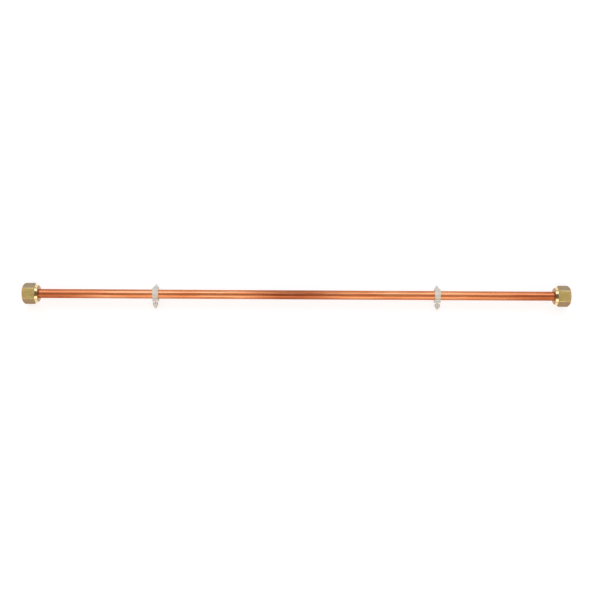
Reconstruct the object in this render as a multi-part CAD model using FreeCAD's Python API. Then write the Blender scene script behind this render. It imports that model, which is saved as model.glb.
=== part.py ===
import FreeCAD, Part
import math
import os

V = FreeCAD.Vector
origin = V(0, 0, 0)

# Copper tube, flared outwards at both ends
tube_length = 740.0
tube_diameter = 12.7
tube_wall = 0.8
flare_diameter = 16.6
flare_bend_radius = 0.6

# Hexagon flare nut
nut_across_flats = 26.0
nut_length = 22.5
nut_face_drop = 0.9
nut_face_angle = 42.0
nut_collar_length = 4.6
nut_collar_drop = 1.25
nut_collar_bevel = 1.2
nut_corner_angle = 48.0
thread_depth = 12.0
thread_mouth_chamfer = 0.9
thread_relief_depth = 0.95
thread_relief_length = 1.2

# Running room between the tube, its flare and the nut
nut_tube_clearance = 0.15
seat_clearance = 0.15
flare_rim_clearance = 0.4

# Spring clip, its angles taken from +Y towards +Z about the tube's axis
clip_spacing = 396.0
clip_width = 8.0
clip_wall = 2.0
clip_edge_bevel = 0.4
clip_grip_clearance = 0.05
upper_arm_end = 44.0
upper_lip_radius = 2.6
upper_lip_turn = 50.0
upper_lip_straight = 0.3
lower_arm_end = -50.0
lower_lip_radius = 3.0
lower_lip_turn = -72.0
lower_lip_straight = 6.35
lower_lip_point = 5.0

# Shoulder plate that stops the clip against a panel
shoulder_standoff = 1.9
shoulder_thickness = 2.2
shoulder_height = 14.0
shoulder_corner = 1.2
pedestal_height = 13.0

# Arrowhead that snaps into the panel's hole, lengths taken from the panel's face
arrow_length = 9.7
arrow_thickness = 4.0
arrow_width = 7.3
arrow_tip_width = 1.3
arrow_tip_thickness = 1.8
stem_width = 1.8
wing_slot = 1.0
wing_start = 1.1
wing_start_inset = 0.2
wing_widest = 5.1
slot_end = 6.2

# Sizes worked out from the ones above
tube_radius = tube_diameter / 2
bore_radius = tube_radius - tube_wall
flare_radius = flare_diameter / 2
nut_bore_radius = tube_radius + nut_tube_clearance
thread_radius = flare_radius + flare_rim_clearance
relief_radius = thread_radius + thread_relief_depth
nut_flat_radius = nut_across_flats / 2
nut_corner_radius = nut_flat_radius / math.cos(math.radians(30))
clip_inner_radius = tube_radius + clip_grip_clearance
clip_outer_radius = clip_inner_radius + clip_wall
panel_face = clip_outer_radius + shoulder_standoff

# Depths from a nut's mouth, where the seat and the flare slope at 45 degrees
relief_end = thread_depth + thread_relief_length
seat_depth = relief_end + relief_radius - nut_bore_radius
flare_root = relief_end + relief_radius - tube_radius - seat_clearance * math.sqrt(2)
bore_root = flare_root - tube_wall * math.tan(math.radians(22.5))
rim_shift = tube_wall / math.sqrt(2)
flare_face = flare_root - flare_radius + tube_radius - rim_shift


def face_of(points):
    return Part.Face(Part.makePolygon(points + points[:1]))


def turned(points):
    # A solid of revolution about X from points given as (x, radius)
    outline = [V(x, 0, radius) for x, radius in points]
    return face_of(outline).revolve(origin, V(1, 0, 0), 360)


def copper_tube():
    # The left half is turned, then mirrored about the tube's middle at x = 0
    left_end = -tube_length / 2
    outer_bend = left_end + flare_root - flare_face
    inner_bend = left_end + bore_root - flare_face
    half = turned([
        (0, tube_radius),
        (outer_bend, tube_radius),
        (left_end + rim_shift, flare_radius),
        (left_end, flare_radius - rim_shift),
        (inner_bend, bore_radius),
        (0, bore_radius),
    ])
    bends = [edge for edge in half.Edges if lies_across(edge, (outer_bend, inner_bend))]
    half = half.makeFillet(flare_bend_radius, bends)
    other = half.mirror(origin, V(1, 0, 0))
    return half.fuse(other).removeSplitter()


def lies_across(edge, places):
    across = edge.BoundBox.XLength < 0.001
    return across and any(abs(edge.BoundBox.XMin - place) < 0.001 for place in places)


def flare_nut():
    # The mouth is at x = 0 and the conical collar is at the far end
    corners = []
    for step in range(6):
        angle = math.radians(60 * step + 30)
        corners.append(V(0, math.sin(angle), math.cos(angle)) * nut_corner_radius)
    hexagon = face_of(corners).extrude(V(nut_length, 0, 0))
    face_radius = nut_flat_radius - nut_face_drop
    face_run = (nut_corner_radius - face_radius) / math.tan(math.radians(nut_face_angle))
    corner_drop = nut_corner_radius - nut_flat_radius
    corner_run = corner_drop / math.tan(math.radians(nut_corner_angle))
    collar_start = nut_length - nut_collar_length
    collar_radius = nut_flat_radius - nut_collar_drop
    envelope = turned([
        (0, 0),
        (0, face_radius),
        (face_run, nut_corner_radius),
        (collar_start - corner_run, nut_corner_radius),
        (collar_start, nut_flat_radius),
        (nut_length - nut_collar_bevel, collar_radius),
        (nut_length, collar_radius - nut_collar_bevel),
        (nut_length, 0),
    ])
    hole = turned([
        (0, 0),
        (0, thread_radius + thread_mouth_chamfer),
        (thread_mouth_chamfer, thread_radius),
        (thread_depth, thread_radius),
        (thread_depth, relief_radius),
        (relief_end, relief_radius),
        (seat_depth, nut_bore_radius),
        (nut_length, nut_bore_radius),
        (nut_length, 0),
    ])
    return hexagon.common(envelope).cut(hole)


def around(centre, radius, angle):
    turn = math.radians(angle)
    return centre + V(0, math.cos(turn), math.sin(turn)) * radius


def arc(centre, radius, start, end):
    angles = (start, (start + end) / 2, end)
    points = [around(centre, radius, angle) for angle in angles]
    return Part.Arc(*points).toShape()


def lip(arm_end, bend_radius, turn, straight):
    # The lip's outline edges, and the middle of its round end
    half_wall = clip_wall / 2
    side = math.copysign(1, turn)
    centre = around(origin, clip_inner_radius + half_wall + bend_radius, arm_end)
    start = 180 + arm_end
    end = start + turn
    along = around(origin, straight, end + 90 * side)
    outer_bend = around(centre, bend_radius - half_wall, end)
    inner_bend = around(centre, bend_radius + half_wall, end)
    tip = around(centre, bend_radius, end) + along
    edges = [
        arc(centre, bend_radius - half_wall, start, end),
        Part.makeLine(outer_bend, outer_bend + along),
        arc(tip, half_wall, end + 180 * side, end),
        Part.makeLine(inner_bend + along, inner_bend),
        arc(centre, bend_radius + half_wall, end, start),
    ]
    return edges, tip


def clip_spring():
    # The C-shaped section with its two lips, drawn across the tube and extruded along it
    upper, upper_tip = lip(upper_arm_end, upper_lip_radius, upper_lip_turn, upper_lip_straight)
    lower, lower_tip = lip(lower_arm_end, lower_lip_radius, lower_lip_turn, lower_lip_straight)
    ring = [
        arc(origin, clip_outer_radius, upper_arm_end, lower_arm_end + 360),
        arc(origin, clip_inner_radius, upper_arm_end, lower_arm_end + 360),
    ]
    outline = Part.Wire(Part.__sortEdges__(upper + lower + ring))
    spring = Part.Face(outline).extrude(V(clip_width, 0, 0))
    spring.translate(V(-clip_width / 2, 0, 0))
    spring = spring.cut(lip_corners(lower_tip))
    sides = (-clip_width / 2, clip_width / 2)
    rims = [edge for edge in spring.Edges if lies_across(edge, sides)]
    return spring.makeChamfer(clip_edge_bevel, rims)


def lip_corners(lower_tip):
    # The two corners cut off the lower lip to leave it pointed
    reach = lower_tip.y + clip_wall / 2
    depth = clip_wall * 6
    corners = []
    for side in (-1, 1):
        outer = side * clip_width / 2
        triangle = face_of([
            V(0, reach, lower_tip.z - depth / 2),
            V(outer, reach - lower_lip_point, lower_tip.z - depth / 2),
            V(outer, reach, lower_tip.z - depth / 2),
        ])
        corners.append(triangle.extrude(V(0, 0, depth)))
    return corners[0].fuse(corners[1])


def shoulder():
    # A pedestal from the spring's back, with the plate that lies on the panel
    plate = Part.makeBox(clip_width, shoulder_thickness, shoulder_height)
    plate.translate(V(-clip_width / 2, -panel_face, -shoulder_height / 2))
    corners = [edge for edge in plate.Edges if abs(edge.tangentAt(edge.FirstParameter).y) > 0.99]
    plate = plate.makeFillet(shoulder_corner, corners)
    pedestal_length = panel_face - clip_inner_radius
    pedestal = Part.makeBox(clip_width, pedestal_length, pedestal_height)
    pedestal.translate(V(-clip_width / 2, -panel_face, -pedestal_height / 2))
    bore = Part.makeCylinder(clip_inner_radius, clip_width, V(-clip_width / 2, 0, 0), V(1, 0, 0))
    return plate.fuse(pedestal).cut(bore)


def arrow_side(side):
    # One half of the arrowhead's outline, from the stem's foot to the tip
    stem = stem_width / 2
    slot_radius = wing_slot / 2
    outline = [
        (stem, -shoulder_thickness / 2),
        (stem, slot_end - slot_radius),
        (stem + wing_slot, slot_end - slot_radius),
        (stem + wing_slot, wing_start),
        (arrow_width / 2 - wing_start_inset, wing_start),
        (arrow_width / 2, wing_widest),
        (arrow_tip_width / 2, arrow_length),
    ]
    points = [V(side * across, -panel_face - along, 0) for across, along in outline]
    slot_top = V(side * (stem + slot_radius), -panel_face - slot_end, 0)
    edges = [Part.makeLine(start, end) for start, end in zip(points, points[1:])]
    edges[1] = Part.Arc(points[1], slot_top, points[2]).toShape()
    return edges, points[0], points[-1]


def arrowhead():
    # The winged outline seen from above, thinned towards its tip as seen from the side
    left, left_foot, left_tip = arrow_side(-1)
    right, right_foot, right_tip = arrow_side(1)
    ends = [Part.makeLine(left_foot, right_foot), Part.makeLine(left_tip, right_tip)]
    outline = Part.Wire(Part.__sortEdges__(left + right + ends))
    wings = Part.Face(outline).extrude(V(0, 0, arrow_thickness))
    wings.translate(V(0, 0, -arrow_thickness / 2))
    half = arrow_thickness / 2
    half_tip = arrow_tip_thickness / 2
    taper_start = -panel_face - wing_widest
    tip = -panel_face - arrow_length
    side_view = face_of([
        V(-arrow_width, -clip_inner_radius, -half),
        V(-arrow_width, taper_start, -half),
        V(-arrow_width, tip, -half_tip),
        V(-arrow_width, tip, half_tip),
        V(-arrow_width, taper_start, half),
        V(-arrow_width, -clip_inner_radius, half),
    ])
    return wings.common(side_view.extrude(V(2 * arrow_width, 0, 0)))


def pipe_clip():
    return clip_spring().fuse([shoulder(), arrowhead()]).removeSplitter()


def placed(shape, place, turn):
    # A copy turned about +Z and moved along the tube
    copy = shape.copy()
    copy.rotate(origin, V(0, 0, 1), turn)
    copy.translate(V(place, 0, 0))
    return copy


nut = flare_nut()
clip = pipe_clip()
mouth = tube_length / 2 + flare_face
nodes = {
    "copper_tube": copper_tube(),
    "flare_nut_left": placed(nut, -mouth, 0),
    "flare_nut_right": placed(nut, mouth, 180),
    "pipe_clip_left": placed(clip, -clip_spacing / 2, 0),
    "pipe_clip_right": placed(clip, clip_spacing / 2, 0),
}

os.makedirs("parts", exist_ok=True)
for name, shape in nodes.items():
    shape.exportStep(f"parts/{name}.step")
    print(name, shape.isValid(), len(shape.Solids), round(shape.Volume, 1), shape.BoundBox)
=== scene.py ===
import bmesh
import bpy
import math
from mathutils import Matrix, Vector


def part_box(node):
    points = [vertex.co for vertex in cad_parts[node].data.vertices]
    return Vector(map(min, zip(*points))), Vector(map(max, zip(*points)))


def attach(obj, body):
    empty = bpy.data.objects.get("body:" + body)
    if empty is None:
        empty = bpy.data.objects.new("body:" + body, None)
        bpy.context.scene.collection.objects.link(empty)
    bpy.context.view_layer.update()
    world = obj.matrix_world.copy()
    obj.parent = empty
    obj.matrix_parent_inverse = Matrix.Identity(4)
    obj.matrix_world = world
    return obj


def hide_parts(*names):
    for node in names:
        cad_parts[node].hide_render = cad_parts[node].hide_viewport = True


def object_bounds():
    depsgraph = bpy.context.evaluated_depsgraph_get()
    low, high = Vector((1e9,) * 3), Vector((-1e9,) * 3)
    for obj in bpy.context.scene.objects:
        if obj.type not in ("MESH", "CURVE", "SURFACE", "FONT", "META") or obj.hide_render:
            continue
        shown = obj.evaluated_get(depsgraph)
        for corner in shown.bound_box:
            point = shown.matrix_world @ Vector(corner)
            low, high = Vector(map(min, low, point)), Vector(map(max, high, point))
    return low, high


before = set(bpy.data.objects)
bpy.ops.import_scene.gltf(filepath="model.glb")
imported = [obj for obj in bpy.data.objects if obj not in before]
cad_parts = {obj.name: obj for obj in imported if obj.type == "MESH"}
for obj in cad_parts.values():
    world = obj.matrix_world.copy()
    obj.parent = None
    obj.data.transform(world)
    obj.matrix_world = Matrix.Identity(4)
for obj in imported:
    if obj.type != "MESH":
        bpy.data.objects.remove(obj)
cadLow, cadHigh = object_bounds()
mm = 0.001
weldDistance = 0.002 * mm
print("frame loaded, CAD box", tuple(cadLow), tuple(cadHigh))


# small tools used by every piece

def freshStart():
    # object mode with nothing selected
    if bpy.context.mode != "OBJECT":
        bpy.ops.object.mode_set(mode="OBJECT")
    bpy.ops.object.select_all(action="DESELECT")


def pickOnly(piece):
    freshStart()
    piece.select_set(True)
    bpy.context.view_layer.objects.active = piece


def settle(name):
    # the new object's place goes into its mesh
    piece = bpy.context.object
    piece.name = name
    bpy.ops.object.transform_apply(location=True, rotation=True, scale=True)
    return piece


def editPiece(piece, kind):
    # edit mode with nothing selected
    pickOnly(piece)
    bpy.ops.object.mode_set(mode="EDIT")
    bpy.ops.mesh.select_mode(type=kind)
    bpy.ops.mesh.select_all(action="DESELECT")


def selectWhere(piece, kind, test):
    mesh = bmesh.from_edit_mesh(piece.data)
    for part in getattr(mesh, kind):
        if test(part):
            part.select_set(True)
    bmesh.update_edit_mesh(piece.data)


def useModifier(piece, kind, **settings):
    pickOnly(piece)
    change = piece.modifiers.new(kind.lower(), kind)
    for name, value in settings.items():
        setattr(change, name, value)
    bpy.ops.object.modifier_apply(modifier=change.name)


def combine(piece, other, operation):
    useModifier(piece, "BOOLEAN", operation=operation, object=other, solver="EXACT")
    bpy.data.objects.remove(other)


def cleanUp(piece):
    editPiece(piece, "VERT")
    bpy.ops.mesh.select_all(action="SELECT")
    bpy.ops.mesh.remove_doubles(threshold=weldDistance)
    bpy.ops.mesh.dissolve_degenerate(threshold=weldDistance)
    bpy.ops.mesh.normals_make_consistent(inside=False)
    freshStart()


def smoothShade(piece, angle):
    pickOnly(piece)
    bpy.ops.object.shade_smooth_by_angle(angle=math.radians(angle))


def copyPiece(piece, name, turn=0.0, shift=0.0):
    pickOnly(piece)
    bpy.ops.object.duplicate(linked=False)
    copy = bpy.context.object
    copy.rotation_euler.z = turn
    copy.location.x = shift
    return settle(name)


def pushSection(move):
    bpy.ops.mesh.extrude_region_move(TRANSFORM_OT_translate={"value": move})


def scaleSection(scale, centre):
    bpy.ops.transform.resize(value=scale, center_override=centre)


def turnedBody(name, stations, sides, fill="NGON"):
    # lathe work about X: a disc or ring, extruded and resized from station to station
    freshStart()
    x, radius = stations[0]
    bpy.ops.mesh.primitive_circle_add(vertices=sides, radius=radius, fill_type=fill,
                                      location=(x, 0, 0), rotation=(0, math.pi / 2, 0))
    piece = settle(name)
    bpy.ops.object.mode_set(mode="EDIT")
    bpy.ops.mesh.select_all(action="SELECT")
    for (x, radius), (nextX, nextRadius) in zip(stations, stations[1:]):
        grow = nextRadius / radius
        pushSection((nextX - x, 0, 0))
        scaleSection((1, grow, grow), (nextX, 0, 0))
    bpy.ops.mesh.select_all(action="SELECT")
    bpy.ops.mesh.normals_make_consistent(inside=False)
    freshStart()
    return piece


def boxPiece(name, low, high):
    freshStart()
    low, high = Vector(low), Vector(high)
    bpy.ops.mesh.primitive_cube_add(size=1, location=(low + high) / 2)
    bpy.context.object.scale = high - low
    return settle(name)


def platePiece(name, place, tilt, width, height):
    # one rectangle, tilted about X, as the first section of a pushed or spun form
    freshStart()
    bpy.ops.mesh.primitive_plane_add(size=1, location=place, rotation=(tilt, 0, 0))
    bpy.context.object.scale = (width, height, 1)
    return settle(name)


def openSection():
    # edit mode with the whole first section selected
    bpy.ops.object.mode_set(mode="EDIT")
    bpy.ops.mesh.select_mode(type="FACE")
    bpy.ops.mesh.select_all(action="SELECT")


# materials

bumpDepth = 0.05 * mm


def hexColour(code):
    # sRGB hex to linear light
    channels = []
    for start in (0, 2, 4):
        value = int(code[start:start + 2], 16) / 255
        channels.append(value / 12.92 if value <= 0.04045 else ((value + 0.055) / 1.055) ** 2.4)
    return (*channels, 1.0)


def addNode(tree, kind, inputs=None, stops=(), **settings):
    # inputs are sockets to link or values to set, and stops are a colour ramp's places and colours
    node = tree.nodes.new(kind)
    for name, value in settings.items():
        setattr(node, name, value)
    for socket, value in (inputs or {}).items():
        if isinstance(value, bpy.types.NodeSocket):
            tree.links.new(value, node.inputs[socket])
        else:
            node.inputs[socket].default_value = value
    if stops:
        ramp = node.color_ramp
        while len(ramp.elements) < len(stops):
            ramp.elements.new(0.5)
        for element, (position, code) in zip(ramp.elements, stops):
            element.position = position
            element.color = hexColour(code)
    return node


def startMaterial(name):
    material = bpy.data.materials.new(name)
    material.use_nodes = True
    tree = material.node_tree
    place = addNode(tree, "ShaderNodeTexCoord").outputs["Object"]
    return material, tree, tree.nodes["Principled BSDF"], place


def patternScale(cell):
    # how often a pattern with cells of this size comes in a metre, along each axis
    return [1 / size for size in cell]


def finishSurface(tree, surface, colour, roughness, height, relief):
    # colour, gloss and shallow relief go to the one surface shader
    bump = addNode(tree, "ShaderNodeBump", {"Height": height, "Strength": relief, "Distance": bumpDepth})
    tree.links.new(colour, surface.inputs["Base Color"])
    tree.links.new(roughness, surface.inputs["Roughness"])
    tree.links.new(bump.outputs["Normal"], surface.inputs["Normal"])


copperLook = {
    "tones": [(0.3, "c8784c"), (0.5, "db8e61"), (0.7, "e8a77c")],
    "streak": (60 * mm, 2.2 * mm, 2.2 * mm),
    "streakDetail": 3.0,
    "drawLine": (40 * mm, 0.5 * mm, 0.5 * mm),  # real lines are a tenth as wide, too fine to show
    "drawLineDetail": 2.0,
    # painted dark reflection along the tube, darkest in the middle and near the nuts
    "paintedDarkZones": [(0.0, "cdb9b4"), (0.07, "d6c4c0"), (0.2, "ffffff"), (0.72, "ffffff"),
                  (0.95, "e6cfc8")],
    "halfLength": 370 * mm,
    "wear": (0.7, 1.3),
    "roughness": (0.2, 0.36),
    "relief": 0.18,
    "grazing": "b86c48",
}


def drawnCopper():
    # drawn copper tube: soft lengthwise streaks, warm mirror gloss broken by draw lines
    material, tree, surface, place = startMaterial("drawn copper")
    look = copperLook
    streakPlace = addNode(tree, "ShaderNodeMapping",
                          {"Vector": place, "Scale": patternScale(look["streak"])})
    linePlace = addNode(tree, "ShaderNodeMapping",
                        {"Vector": place, "Scale": patternScale(look["drawLine"])})
    streaks = addNode(tree, "ShaderNodeTexNoise", {"Vector": streakPlace.outputs["Vector"],
                                                   "Scale": 1.0, "Detail": look["streakDetail"]})
    lines = addNode(tree, "ShaderNodeTexNoise", {"Vector": linePlace.outputs["Vector"],
                                                 "Scale": 1.0, "Detail": look["drawLineDetail"]})
    tones = addNode(tree, "ShaderNodeValToRGB", {"Fac": streaks.outputs["Fac"]}, look["tones"])
    # painted dark reflection: the skin is darkened in the middle and towards the nuts, standing in for
    # the dark reflections that fall there
    parts = addNode(tree, "ShaderNodeSeparateXYZ", {"Vector": place})
    distance = addNode(tree, "ShaderNodeMath", {0: parts.outputs["X"]}, operation="ABSOLUTE")
    share = addNode(tree, "ShaderNodeMath", {0: distance.outputs["Value"], 1: look["halfLength"]},
                    operation="DIVIDE")
    paintedDarkRamp = addNode(tree, "ShaderNodeValToRGB", {"Fac": share.outputs["Value"]}, look["paintedDarkZones"])
    skin = addNode(tree, "ShaderNodeMix",
                   {"Factor": 1.0, "A": tones.outputs["Color"], "B": paintedDarkRamp.outputs["Color"]},
                   data_type="RGBA", blend_type="MULTIPLY")
    wear = addNode(tree, "ShaderNodeMath", {0: streaks.outputs["Fac"], 1: lines.outputs["Fac"]},
                   operation="ADD")
    wearLeast, wearMost = look["wear"]
    smoothest, roughest = look["roughness"]
    rough = addNode(tree, "ShaderNodeMapRange",
                    {"Value": wear.outputs["Value"], "From Min": wearLeast, "From Max": wearMost,
                     "To Min": smoothest, "To Max": roughest})
    surface.inputs["Metallic"].default_value = 1.0
    # a thin oxide keeps the edges, seen at a slant, from turning white
    surface.inputs["Specular Tint"].default_value = hexColour(look["grazing"])
    finishSurface(tree, surface, skin.outputs["Result"], rough.outputs["Result"],
                  lines.outputs["Fac"], look["relief"])
    return material


brassLook = {
    "brightBar": [(0.38, "e0c97a"), (0.62, "ffeea6")],
    # painted shade: darker, greyer tones for the sloping flats, and browner ones for the pair facing -Y
    "shadedBar": [(0.38, "927e61"), (0.62, "a99475")],
    "warmShadedBar": [(0.38, "937753"), (0.62, "aa8c64")],
    "grain": (9 * mm, 0.8 * mm, 0.8 * mm),      # real grain is about half as wide
    "grainDetail": 4.0,
    "barRoughness": (0.3, 0.5),
    "barRelief": 0.2,
    "brightTurned": [(0.3, "e6ca8e"), (0.7, "f4dfae")],
    # darker, browner tones for the outer chamfers
    "darkerTurned": [(0.3, "b68f62"), (0.7, "c9a377")],
    # painted reflection and shade: the pinkish brown of the copper that the collar's end faces
    "paintedReflectionTurned": [(0.3, "a27650"), (0.7, "b88a60")],
    "toolMark": 0.35 * mm,      # about twice a real tool's feed, so that the rings show
    "toolMarkDetail": 2.0,
    "turnedRoughness": (0.14, 0.28),
    "turnedRelief": 0.25,
}


def drawnBrass(name, barTones):
    # hexagon brass bar as drawn: fine lengthwise grain on a satin yellow metal
    material, tree, surface, place = startMaterial(name)
    look = brassLook
    grainPlace = addNode(tree, "ShaderNodeMapping",
                         {"Vector": place, "Scale": patternScale(look["grain"])})
    grain = addNode(tree, "ShaderNodeTexNoise", {"Vector": grainPlace.outputs["Vector"],
                                                 "Scale": 1.0, "Detail": look["grainDetail"]})
    tones = addNode(tree, "ShaderNodeValToRGB", {"Fac": grain.outputs["Fac"]}, barTones)
    smoothest, roughest = look["barRoughness"]
    rough = addNode(tree, "ShaderNodeMapRange",
                    {"Value": grain.outputs["Fac"], "To Min": smoothest, "To Max": roughest})
    surface.inputs["Metallic"].default_value = 1.0
    finishSurface(tree, surface, tones.outputs["Color"], rough.outputs["Result"],
                  grain.outputs["Fac"], look["barRelief"])
    return material


def turnedBrass(name, turnedTones):
    # lathe-turned brass: fine glossy tool rings around the axis, in the tones given to it, which at the
    # collar's end are a painted copper reflection and shade
    material, tree, surface, place = startMaterial(name)
    look = brassLook
    parts = addNode(tree, "ShaderNodeSeparateXYZ", {"Vector": place})
    flat = addNode(tree, "ShaderNodeCombineXYZ", {"Y": parts.outputs["Y"], "Z": parts.outputs["Z"]})
    radius = addNode(tree, "ShaderNodeVectorMath", {0: flat.outputs["Vector"]}, operation="LENGTH")
    along = addNode(tree, "ShaderNodeMath", {0: radius.outputs["Value"], 1: parts.outputs["X"]},
                    operation="ADD")
    rings = addNode(tree, "ShaderNodeMath", {0: along.outputs["Value"], 1: 1 / look["toolMark"]},
                    operation="MULTIPLY")
    marks = addNode(tree, "ShaderNodeTexNoise", {"W": rings.outputs["Value"], "Scale": 1.0,
                                                 "Detail": look["toolMarkDetail"]},
                    noise_dimensions="1D")
    tones = addNode(tree, "ShaderNodeValToRGB", {"Fac": marks.outputs["Fac"]}, turnedTones)
    smoothest, roughest = look["turnedRoughness"]
    rough = addNode(tree, "ShaderNodeMapRange",
                    {"Value": marks.outputs["Fac"], "To Min": smoothest, "To Max": roughest})
    surface.inputs["Metallic"].default_value = 1.0
    finishSurface(tree, surface, tones.outputs["Color"], rough.outputs["Result"],
                  marks.outputs["Fac"], look["turnedRelief"])
    return material


nylonLook = {
    "tones": [(0.35, "d9d1c2"), (0.65, "e1d9cb")],
    "cloud": 3 * mm,
    "cloudDetail": 2.0,
    "grit": 0.25 * mm,          # coarser than a real mould's, so that it shows
    "gritDetail": 2.0,
    "roughness": (0.38, 0.56),
    "relief": 0.08,
    "refraction": 1.53,
    "milkiness": 0.6,
    "scatter": 2.0 * mm,
    "scatterTint": (1.0, 0.9, 0.75),
}


def naturalNylon():
    # moulded natural nylon: milky off-white that light soaks into, with a dull satin skin
    material, tree, surface, place = startMaterial("natural nylon")
    look = nylonLook
    clouds = addNode(tree, "ShaderNodeTexNoise",
                     {"Vector": place, "Scale": 1 / look["cloud"], "Detail": look["cloudDetail"]})
    grit = addNode(tree, "ShaderNodeTexNoise",
                   {"Vector": place, "Scale": 1 / look["grit"], "Detail": look["gritDetail"]})
    tones = addNode(tree, "ShaderNodeValToRGB", {"Fac": clouds.outputs["Fac"]}, look["tones"])
    smoothest, roughest = look["roughness"]
    rough = addNode(tree, "ShaderNodeMapRange",
                    {"Value": grit.outputs["Fac"], "To Min": smoothest, "To Max": roughest})
    surface.inputs["IOR"].default_value = look["refraction"]
    surface.inputs["Subsurface Weight"].default_value = look["milkiness"]
    surface.inputs["Subsurface Radius"].default_value = look["scatterTint"]
    surface.inputs["Subsurface Scale"].default_value = look["scatter"]
    finishSurface(tree, surface, tones.outputs["Color"], rough.outputs["Result"],
                  grit.outputs["Fac"], look["relief"])
    return material


copper = drawnCopper()
barBrass = drawnBrass("drawn brass", brassLook["brightBar"])
shadedBarBrass = drawnBrass("drawn brass in painted shade", brassLook["shadedBar"])
warmShadedBarBrass = drawnBrass("drawn brass in painted warm shade", brassLook["warmShadedBar"])
latheBrass = turnedBrass("turned brass", brassLook["brightTurned"])
chamferBrass = turnedBrass("darker turned brass", brassLook["darkerTurned"])
collarReflectionBrass = turnedBrass("turned brass with painted copper reflection", brassLook["paintedReflectionTurned"])
nylon = naturalNylon()
print("materials ready")


# the copper tube

tubeSpec = {
    "radius": 6.35 * mm,
    "wall": 0.8 * mm,
    "flareAngle": 45.0,
    "bendRadius": 1.0 * mm,
    "bendSteps": 5,
    "sides": 112,
    "rimBevel": 0.12 * mm,
    "rimSegments": 2,
    "rimAngle": 50.0,
    "shadeAngle": 35.0,
}


def flareStations(spec, end, rim, depth):
    # one skin of the left flare, from its rim round the bend to the straight tube
    slope = math.radians(spec["flareAngle"])
    shift = spec["wall"] * math.cos(slope)
    rimX = end + shift - depth * math.cos(slope)
    rimRadius = rim - depth * math.sin(slope)
    bendX = end + shift + rim - spec["radius"] + spec["bendRadius"] * math.tan(slope / 2)
    bend = spec["bendRadius"] + depth
    stations = [(rimX, rimRadius)]
    for step in range(spec["bendSteps"] + 1):
        turn = slope * (1 - step / spec["bendSteps"])
        radius = spec["radius"] + spec["bendRadius"] - bend * math.cos(turn)
        stations.append((bendX - bend * math.sin(turn), radius))
    return stations


def makeTube(spec):
    # the outside is turned from left to right and the bore back again, then the rims meet
    low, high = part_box("copper_tube")
    outside = flareStations(spec, low.x, high.z, 0.0)
    inside = flareStations(spec, low.x, high.z, spec["wall"])
    outsideRight = [(-x, radius) for x, radius in reversed(outside)]
    insideRight = [(-x, radius) for x, radius in inside]
    stations = outside + outsideRight + insideRight + inside[::-1] + outside[:1]
    piece = turnedBody("copperTube", stations, spec["sides"], fill="NOTHING")
    cleanUp(piece)
    useModifier(piece, "BEVEL", width=spec["rimBevel"], segments=spec["rimSegments"],
                limit_method="ANGLE", angle_limit=math.radians(spec["rimAngle"]))
    smoothShade(piece, spec["shadeAngle"])
    piece.data.materials.append(copper)
    return piece


copperTube = makeTube(tubeSpec)
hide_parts("copper_tube")
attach(copperTube, "tube")
print("copper tube done", len(copperTube.data.polygons), "faces")


# the flare nuts

nutSpec = {
    "faceDrop": 0.9 * mm,
    "faceAngle": 42.0,
    "collarLength": 4.6 * mm,
    "collarDrop": 1.25 * mm,
    "collarBevel": 1.2 * mm,
    "cornerAngle": 48.0,
    "edgeRound": 0.45 * mm,
    "edgeSegments": 4,
    "sides": 120,
    "minorRadius": 8.7 * mm,
    "threadHeight": 0.825 * mm,
    "pitch": 1.5875 * mm,
    "flankAngle": 30.0,
    "crestShare": 0.25,         # of the pitch
    "rootOverlap": 0.05 * mm,
    "ridgeStart": 0.3 * mm,
    "ridgeSteps": 72,
    "ridgeWeld": 0.001 * mm,
    "ridgeEndSides": 8,
    "threadDepth": 12.0 * mm,
    "mouthChamfer": 0.9 * mm,
    "reliefRadius": 9.65 * mm,
    "reliefLength": 1.2 * mm,
    "tubeHole": 6.5 * mm,
    "cutMargin": 1.0 * mm,
    "shadeAngle": 24.0,
    # what tells the faces apart: shares of the flats' radius, and parts of a face's normal
    "flatShare": 0.97,
    "flatTilt": 0.05,
    "slope": (0.1, 0.6),
    "outerShare": 0.8,
    "endTilt": 0.6,
}


def nutBlank(spec, mouth, length, flatRadius):
    # hexagon bar with rounded corners, then turned down at both ends
    cornerRadius = flatRadius / math.cos(math.radians(30))
    freshStart()
    bpy.ops.mesh.primitive_cylinder_add(vertices=6, radius=cornerRadius, depth=length,
                                        location=(mouth + length / 2, 0, 0),
                                        rotation=(0, math.pi / 2, 0))
    blank = settle("flareNutLeft")
    editPiece(blank, "EDGE")
    selectWhere(blank, "edges", lambda edge: abs(edge.verts[0].co.x - edge.verts[1].co.x) > length / 2)
    bpy.ops.mesh.bevel(offset=spec["edgeRound"], segments=spec["edgeSegments"], affect="EDGES")
    faceRadius = flatRadius - spec["faceDrop"]
    faceRun = (cornerRadius - faceRadius) / math.tan(math.radians(spec["faceAngle"]))
    cornerRun = (cornerRadius - flatRadius) / math.tan(math.radians(spec["cornerAngle"]))
    collar = mouth + length - spec["collarLength"]
    collarRadius = flatRadius - spec["collarDrop"]
    envelope = turnedBody("nutEnvelope", [
        (mouth, faceRadius),
        (mouth + faceRun, cornerRadius),
        (collar - cornerRun, cornerRadius),
        (collar, flatRadius),
        (mouth + length - spec["collarBevel"], collarRadius),
        (mouth + length, collarRadius - spec["collarBevel"]),
    ], spec["sides"])
    combine(blank, envelope, "INTERSECT")
    return blank


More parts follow.
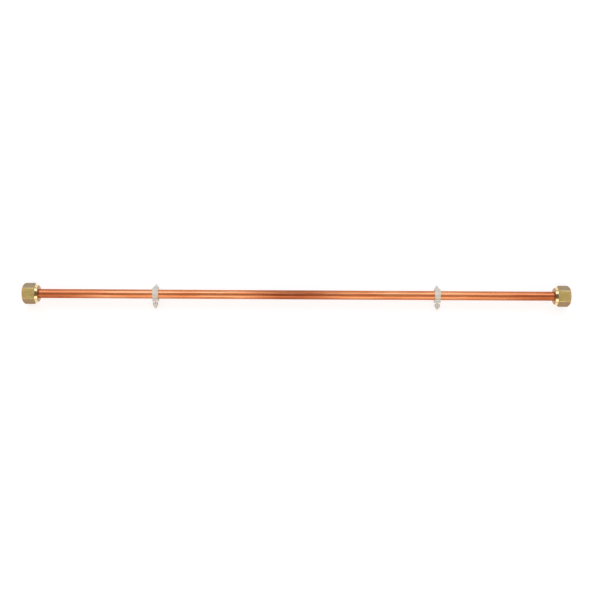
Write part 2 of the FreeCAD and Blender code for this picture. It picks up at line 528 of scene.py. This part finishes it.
def threadRidge(spec, start, turns):
    # the ridge between two grooves of the thread, screwed round the axis
    root = spec["minorRadius"] + spec["threadHeight"] + spec["rootOverlap"]
    height = root - spec["minorRadius"]
    middle = spec["minorRadius"] + height / 2
    crest = spec["pitch"] * spec["crestShare"]
    ridge = platePiece("threadRidge", (start, 0, middle), math.pi / 2, crest, height)
    editPiece(ridge, "VERT")
    selectWhere(ridge, "verts", lambda vert: vert.co.z > middle)
    flanks = 2 * height * math.tan(math.radians(spec["flankAngle"]))
    scaleSection((1 + flanks / crest, 1, 1), (start, 0, root))
    freshStart()
    useModifier(ridge, "SCREW", axis="X", angle=2 * math.pi, screw_offset=spec["pitch"],
                iterations=turns, steps=spec["ridgeSteps"], render_steps=spec["ridgeSteps"])
    editPiece(ridge, "VERT")
    bpy.ops.mesh.select_all(action="SELECT")
    bpy.ops.mesh.remove_doubles(threshold=spec["ridgeWeld"])
    bpy.ops.mesh.fill_holes(sides=spec["ridgeEndSides"])
    bpy.ops.mesh.normals_make_consistent(inside=False)
    freshStart()
    return ridge


def makeNut(spec):
    low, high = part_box("flare_nut_left")
    mouth, length = low.x, high.x - low.x
    nut = nutBlank(spec, mouth, length, high.z)
    threadEnd = mouth + spec["threadDepth"]
    grooveRadius = spec["minorRadius"] + spec["threadHeight"]
    margin = spec["cutMargin"]
    threadHole = turnedBody("threadHole", [
        (mouth - margin, grooveRadius),
        (threadEnd, grooveRadius),
    ], spec["sides"])
    combine(nut, threadHole, "DIFFERENCE")
    turns = math.ceil(spec["threadDepth"] / spec["pitch"])
    combine(nut, threadRidge(spec, mouth + spec["ridgeStart"], turns), "UNION")
    reliefEnd = threadEnd + spec["reliefLength"]
    seatEnd = reliefEnd + spec["reliefRadius"] - spec["tubeHole"]
    seat = turnedBody("seatHole", [
        (threadEnd, spec["reliefRadius"]),
        (reliefEnd, spec["reliefRadius"]),
        (seatEnd, spec["tubeHole"]),
        (mouth + length + margin, spec["tubeHole"]),
    ], spec["sides"])
    combine(nut, seat, "DIFFERENCE")
    chamferRadius = spec["minorRadius"] + spec["mouthChamfer"]
    chamfer = turnedBody("mouthChamfer", [
        (mouth - margin, chamferRadius + margin),
        (mouth + spec["mouthChamfer"], spec["minorRadius"]),
    ], spec["sides"])
    combine(nut, chamfer, "DIFFERENCE")
    cleanUp(nut)
    return nut


def dressNut(nut, spec, inward):
    # bar flats keep the drawn grain, with painted shade on the four sloping ones, browner on the front
    # pair;
    # every other face is turned, browner on the outer chamfers and most of all at the collar's end, there
    # a painted copper reflection and shade
    looks = (latheBrass, barBrass, shadedBarBrass, warmShadedBarBrass, chamferBrass, collarReflectionBrass)
    for look in looks:
        nut.data.materials.append(look)
    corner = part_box("flare_nut_left")[1]
    collarEdge = corner.x - spec["collarBevel"]
    slopeLeast, slopeMost = spec["slope"]
    for face in nut.data.polygons:
        share = math.hypot(face.center.y, face.center.z) / corner.z
        look = latheBrass
        if share > spec["flatShare"] and abs(face.normal.x) < spec["flatTilt"]:
            # painted shade on the sloping flats, browner on the pair facing -Y
            sloping = slopeLeast < abs(face.normal.z) < slopeMost
            shadedFlat = warmShadedBarBrass if face.normal.y < 0 else shadedBarBrass
            look = shadedFlat if sloping else barBrass
        elif face.center.x * inward > collarEdge and face.normal.x * inward > spec["endTilt"]:
            # painted copper reflection and shade on the collar's end
            look = collarReflectionBrass
        elif share > spec["outerShare"] and abs(face.normal.x) > spec["endTilt"]:
            look = chamferBrass
        face.material_index = looks.index(look)
    smoothShade(nut, spec["shadeAngle"])


flareNutLeft = makeNut(nutSpec)
flareNutRight = copyPiece(flareNutLeft, "flareNutRight", turn=math.pi)
for nut, side, inward in ((flareNutLeft, "left", 1), (flareNutRight, "right", -1)):
    dressNut(nut, nutSpec, inward)
    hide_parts("flare_nut_" + side)
    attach(nut, "nut_" + side)
print("flare nuts done", len(flareNutLeft.data.polygons), "faces each")


# the moulded pipe clips

clipSpec = {
    "width": 8.0 * mm,
    "wall": 2.0 * mm,
    "gripRadius": 6.4 * mm,
    "gripSteps": 72,
    "gripSides": 120,
    "upperLip": {"armEnd": 44.0, "radius": 2.6 * mm, "turn": 50.0, "straight": 0.3 * mm, "steps": 12},
    "lowerLip": {"armEnd": 310.0, "radius": 3.0 * mm, "turn": -72.0, "straight": 6.35 * mm, "steps": 10},
    "lowerPoint": 5.0 * mm,
    "pointShare": 0.05,         # of the lip's width, left at its tip
    "lipRound": 0.9 * mm,
    "lipSegments": 5,
    "upperEndDepth": 0.6 * mm,
    "plateThickness": 2.2 * mm,
    "plateHeight": 14.0 * mm,
    "plateCorner": 1.2 * mm,
    "cornerSegments": 6,
    "pedestalHeight": 13.0 * mm,
    "panelFace": 10.3 * mm,
    "arrowThickness": 4.0 * mm,
    "arrowWidth": 7.3 * mm,
    "arrowTip": (1.3 * mm, 1.8 * mm),
    "stemWidth": 1.8 * mm,
    "wingSlot": 1.0 * mm,
    "slotRound": 0.49,          # of the slot's width, so its end is all but a half circle
    "wingStart": 1.1 * mm,
    "wingInset": 0.2 * mm,
    "wingWidest": 5.1 * mm,
    "slotEnd": 6.2 * mm,
    "overlap": 1.0 * mm,
    "edgeSlack": 0.1 * mm,
    "edgeLeast": 1.0 * mm,
    "voxel": 0.2 * mm,
    "smoothing": 0.5,
    "smoothRounds": 4,
    "shadeAngle": 60.0,
}


def across(radius, angle, centre=Vector()):
    # a point in the section across the tube, its angle taken from +Y towards +Z
    turn = math.radians(angle)
    return centre + Vector((0, math.cos(turn), math.sin(turn))) * radius


def spinSection(centre, angle, steps):
    # with no window the spin turns against the right-hand rule
    bpy.ops.mesh.spin(steps=steps, angle=-math.radians(angle), center=centre, axis=(1, 0, 0))


def clipSpring(spec, x):
    # one section carried along the upper lip, round the grip and out along the lower lip
    half = spec["wall"] / 2
    middle = spec["gripRadius"] + half
    upper, lower = spec["upperLip"], spec["lowerLip"]
    axis = Vector((x, 0, 0))
    upperCentre = across(middle + upper["radius"], upper["armEnd"], axis)
    upperEnd = 180 + upper["armEnd"] + upper["turn"]
    upperAlong = across(upper["straight"] + half, upperEnd + 90)
    lowerCentre = across(middle + lower["radius"], lower["armEnd"], axis)
    lowerEnd = 180 + lower["armEnd"] + lower["turn"]
    lowerAlong = across(1, lowerEnd - 90)
    start = across(upper["radius"], upperEnd, upperCentre) + upperAlong
    spring = platePiece("pipeClipLeft", start, math.radians(upperEnd), spec["width"], spec["wall"])
    openSection()
    pushSection(-upperAlong)
    spinSection(upperCentre, -upper["turn"], upper["steps"])
    spinSection(axis, lower["armEnd"] - upper["armEnd"], spec["gripSteps"])
    spinSection(lowerCentre, lower["turn"], lower["steps"])
    pointLength = spec["lowerPoint"] / lowerAlong.y
    # the sloping lip stops where its upper edge is level with the solid's rounded tip
    reach = lower["straight"] + half * (1 + lowerAlong.z) / lowerAlong.y
    pushSection(lowerAlong * (reach - pointLength))
    pushSection(lowerAlong * pointLength)
    scaleSection((spec["pointShare"], 1, 1), axis)
    freshStart()
    cleanUp(spring)
    # both lip ends are rounded over
    editPiece(spring, "EDGE")
    upperTip = start.y - spec["upperEndDepth"]
    lowerBend = across(lower["radius"], lowerEnd, lowerCentre)
    lowerTip = lowerBend.y + lowerAlong.y * (reach - pointLength) - spec["edgeSlack"]

    def onLipEnd(edge):
        first, second = edge.verts[0].co, edge.verts[1].co
        height = (first.z + second.z) / 2
        nearest = min(first.y, second.y)
        runsAcross = abs(first.x - second.x) > spec["edgeSlack"]
        slanted = abs(first.y - second.y) > spec["edgeLeast"]
        onUpper = height > 0 and nearest > upperTip
        onLower = height < 0 and nearest > lowerTip and slanted
        return runsAcross and (onUpper or onLower)

    selectWhere(spring, "edges", onLipEnd)
    bpy.ops.mesh.bevel(offset=spec["lipRound"], segments=spec["lipSegments"], affect="EDGES")
    freshStart()
    return spring


def clipFoot(spec, x):
    # the pedestal behind the grip, with the plate that lies on the panel
    half = spec["width"] / 2
    back = -spec["panelFace"]
    plate = boxPiece("clipPlate", (x - half, back, -spec["plateHeight"] / 2),
                     (x + half, back + spec["plateThickness"], spec["plateHeight"] / 2))
    editPiece(plate, "EDGE")
    selectWhere(plate, "edges",
                lambda edge: abs(edge.verts[0].co.y - edge.verts[1].co.y) > spec["edgeLeast"])
    bpy.ops.mesh.bevel(offset=spec["plateCorner"], segments=spec["cornerSegments"], affect="EDGES")
    freshStart()
    pedestal = boxPiece("clipPedestal", (x - half, back, -spec["pedestalHeight"] / 2),
                        (x + half, -spec["gripRadius"], spec["pedestalHeight"] / 2))
    combine(plate, pedestal, "UNION")
    return plate


def clipArrow(spec, x):
    # the winged arrowhead: a plane pushed from the wings' foot to the widest line and the tip
    foot = -spec["panelFace"] - spec["wingStart"]
    footWidth = spec["arrowWidth"] - 2 * spec["wingInset"]
    arrow = platePiece("clipArrow", (x, foot, 0), math.pi / 2, footWidth, spec["arrowThickness"])
    openSection()
    widest = -spec["panelFace"] - spec["wingWidest"]
    pushSection((0, widest - foot, 0))
    scaleSection((spec["arrowWidth"] / footWidth, 1, 1), (x, widest, 0))
    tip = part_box("pipe_clip_left")[0].y
    tipWidth, tipThickness = spec["arrowTip"]
    pushSection((0, tip - widest, 0))
    scaleSection((tipWidth / spec["arrowWidth"], 1, tipThickness / spec["arrowThickness"]), (x, tip, 0))
    freshStart()
    cleanUp(arrow)
    tall = spec["arrowThickness"]
    slotEnd = -spec["panelFace"] - spec["slotEnd"]

    def onSlotEnd(edge):
        first, second = edge.verts[0].co, edge.verts[1].co
        upright = abs(first.z - second.z) > tall
        return upright and max(first.y, second.y) < slotEnd + spec["edgeSlack"]

    for side in (-1, 1):
        inner = x + side * spec["stemWidth"] / 2
        outer = inner + side * spec["wingSlot"]
        slot = boxPiece("wingSlot", (min(inner, outer), slotEnd, -tall),
                        (max(inner, outer), foot + spec["overlap"], tall))
        editPiece(slot, "EDGE")
        selectWhere(slot, "edges", onSlotEnd)
        bpy.ops.mesh.bevel(offset=spec["wingSlot"] * spec["slotRound"], segments=spec["cornerSegments"],
                           affect="EDGES")
        freshStart()
        combine(arrow, slot, "DIFFERENCE")
    stem = boxPiece("clipStem", (x - spec["stemWidth"] / 2, foot - spec["overlap"], -tall / 2),
                    (x + spec["stemWidth"] / 2, -spec["panelFace"] + spec["overlap"], tall / 2))
    combine(arrow, stem, "UNION")
    return arrow


def makeClip(spec):
    low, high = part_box("pipe_clip_left")
    x = (low.x + high.x) / 2
    clip = clipSpring(spec, x)
    combine(clip, clipFoot(spec, x), "UNION")
    combine(clip, clipArrow(spec, x), "UNION")
    grip = turnedBody("gripHole", [
        (low.x - spec["overlap"], spec["gripRadius"]),
        (high.x + spec["overlap"], spec["gripRadius"]),
    ], spec["gripSides"])
    combine(clip, grip, "DIFFERENCE")
    # a fine remesh and a light smooth give the rounded edges of a moulding
    useModifier(clip, "REMESH", mode="VOXEL", voxel_size=spec["voxel"])
    useModifier(clip, "SMOOTH", factor=spec["smoothing"], iterations=spec["smoothRounds"])
    smoothShade(clip, spec["shadeAngle"])
    clip.data.materials.append(nylon)
    return clip


pipeClipLeft = makeClip(clipSpec)
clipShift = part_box("pipe_clip_right")[0].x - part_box("pipe_clip_left")[0].x
pipeClipRight = copyPiece(pipeClipLeft, "pipeClipRight", shift=clipShift)
for clip, side in ((pipeClipLeft, "left"), (pipeClipRight, "right")):
    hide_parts("pipe_clip_" + side)
    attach(clip, "tube")
print("pipe clips done", len(pipeClipLeft.data.polygons), "faces each")


# floor, light and camera

studioSpec = {
    "floorSize": 12.0,
    "floorTones": [(0.0, "b1b0af"), (1.0, "b3b2b1")],
    "floorMottle": 180 * mm,
    "floorRoughness": 0.9,
    "floorSheen": 0.1,
    "floorGlow": 0.69,
    "horizon": "ffffff",
    "wall": "8c8a88",
    "wallRise": [(0.03, "000000"), (0.16, "ffffff")],
    "ceilingRise": [(0.5, "000000"), (0.75, "ffffff")],
    "overhead": [(0.0, "988a7a"), (0.035, "a88e7a"), (0.075, "eacbb4"), (0.12, "f0dac8"),
                 (0.19, "c8b2a4"), (0.24, "b4b1ae"), (0.32, "8a8785"), (0.43, "5c432b"), (0.8, "8a8580")],
    "stripDistance": 1.1,
    "stripDepth": 0.75,
    "upperTint": "d8ecff",
    "lowerTint": "fff8f0",
    "strips": {
        "upperLeft": {"elevation": 37.0, "side": 1, "from": -1.1, "to": -0.06, "level": 2.38},
        "upperRight": {"elevation": 37.0, "side": 1, "from": 0.06, "to": 1.1, "level": 2.38},
        "lower": {"elevation": 34.0, "side": -1, "from": -0.5, "to": 0.5, "level": 1.53},
        "lowerLeft": {"elevation": 34.0, "side": -1, "from": -1.1, "to": -0.66, "level": 1.53},
        "lowerRight": {"elevation": 34.0, "side": -1, "from": 0.66, "to": 1.1, "level": 1.53},
    },
    "fillSize": 3.0,
    "fillHeight": 2.4,
    "fillLevel": 0.5,
    "fillTint": "e8f2ff",
}


def paleFloor(spec):
    # matt painted board: pale, with just enough glow for the view to read as a white sweep
    material, tree, surface, place = startMaterial("pale matt board")
    mottle = addNode(tree, "ShaderNodeTexNoise", {"Vector": place, "Scale": 1 / spec["floorMottle"]})
    tones = addNode(tree, "ShaderNodeValToRGB", {"Fac": mottle.outputs["Fac"]}, spec["floorTones"])
    rays = addNode(tree, "ShaderNodeLightPath").outputs
    direct = addNode(tree, "ShaderNodeMath", {0: rays["Is Camera Ray"], 1: rays["Is Glossy Ray"]},
                     operation="ADD")
    seen = addNode(tree, "ShaderNodeMath",
                   {0: direct.outputs["Value"], 1: rays["Is Transmission Ray"]},
                   operation="ADD", use_clamp=True)
    glow = addNode(tree, "ShaderNodeMath", {0: seen.outputs["Value"], 1: spec["floorGlow"]},
                   operation="MULTIPLY")
    tree.links.new(tones.outputs["Color"], surface.inputs["Base Color"])
    surface.inputs["Roughness"].default_value = spec["floorRoughness"]
    surface.inputs["Specular IOR Level"].default_value = spec["floorSheen"]
    surface.inputs["Emission Color"].default_value = (1, 1, 1, 1)
    tree.links.new(glow.outputs["Value"], surface.inputs["Emission Strength"])
    return material


def makeFloor(spec):
    freshStart()
    bpy.ops.mesh.primitive_plane_add(size=spec["floorSize"], location=(0, 0, cadLow.z))
    floor = settle("floor")
    floor.data.materials.append(paleFloor(spec))


def makeDome(spec):
    # dim walls on a pale floor line, under a warm ceiling that is darker above the camera and the nuts
    world = bpy.data.worlds.new("studio dome")
    world.use_nodes = True
    tree = world.node_tree
    direction = addNode(tree, "ShaderNodeTexCoord").outputs["Generated"]
    parts = addNode(tree, "ShaderNodeSeparateXYZ", {"Vector": direction})
    wallRise = addNode(tree, "ShaderNodeValToRGB", {"Fac": parts.outputs["Z"]}, spec["wallRise"])
    ceilingRise = addNode(tree, "ShaderNodeValToRGB", {"Fac": parts.outputs["Z"]}, spec["ceilingRise"])
    endways = addNode(tree, "ShaderNodeMath", {0: parts.outputs["X"]}, operation="ABSOLUTE")
    overhead = addNode(tree, "ShaderNodeValToRGB", {"Fac": endways.outputs["Value"]}, spec["overhead"])
    walls = addNode(tree, "ShaderNodeMix",
                    {"Factor": wallRise.outputs["Color"], "A": hexColour(spec["horizon"]),
                     "B": hexColour(spec["wall"])}, data_type="RGBA")
    room = addNode(tree, "ShaderNodeMix",
                   {"Factor": ceilingRise.outputs["Color"], "A": walls.outputs["Result"],
                    "B": overhead.outputs["Color"]}, data_type="RGBA")
    tree.links.new(room.outputs["Result"], tree.nodes["Background"].inputs["Color"])
    bpy.context.scene.world = world


def makeStrip(spec, name, strip):
    # a long softbox beside the tube, facing it: cool daylight behind, warmer light in front
    place = across(spec["stripDistance"], strip["elevation"])
    place.y *= strip["side"]
    facing = (-place).to_track_quat("-Z", "Y").to_euler()
    place.x = (strip["from"] + strip["to"]) / 2
    freshStart()
    bpy.ops.object.light_add(type="AREA", location=place, rotation=facing)
    lamp = bpy.context.object
    lamp.name = name
    lamp.data.shape = "RECTANGLE"
    lamp.data.size = strip["to"] - strip["from"]
    lamp.data.size_y = spec["stripDepth"]
    tint = spec["upperTint"] if strip["side"] > 0 else spec["lowerTint"]
    lamp.data.color = hexColour(tint)[:3]
    lamp.data.energy = strip["level"] * math.pi * lamp.data.size * lamp.data.size_y
    lamp.visible_camera = False


def makeFill(spec):
    # a wide soft fill from the ceiling, kept out of the metal's reflections
    freshStart()
    bpy.ops.object.light_add(type="AREA", location=(0, 0, spec["fillHeight"]))
    lamp = bpy.context.object
    lamp.name = "fill"
    lamp.data.size = spec["fillSize"]
    lamp.data.color = hexColour(spec["fillTint"])[:3]
    lamp.data.energy = spec["fillLevel"] * math.pi * spec["fillSize"] ** 2
    lamp.visible_glossy = False
    lamp.visible_camera = False


cameraSpec = {
    "height": 1.519,            # above the tube's axis
    "lens": 65.68,
    "sensor": 36.0,
    "place": (-0.7 * mm, -1.6 * mm),
    "roll": 0.31,
}


def makeCamera(spec):
    freshStart()
    bpy.ops.object.camera_add(location=(*spec["place"], spec["height"]),
                              rotation=(0, 0, math.radians(spec["roll"])))
    camera = bpy.context.object
    camera.data.lens = spec["lens"]
    camera.data.sensor_width = spec["sensor"]
    bpy.context.scene.camera = camera


makeFloor(studioSpec)
makeDome(studioSpec)
for stripName, strip in studioSpec["strips"].items():
    makeStrip(studioSpec, stripName, strip)
makeFill(studioSpec)
makeCamera(cameraSpec)
bpy.context.scene.view_settings.view_transform = "Standard"
print("floor, light and camera ready")
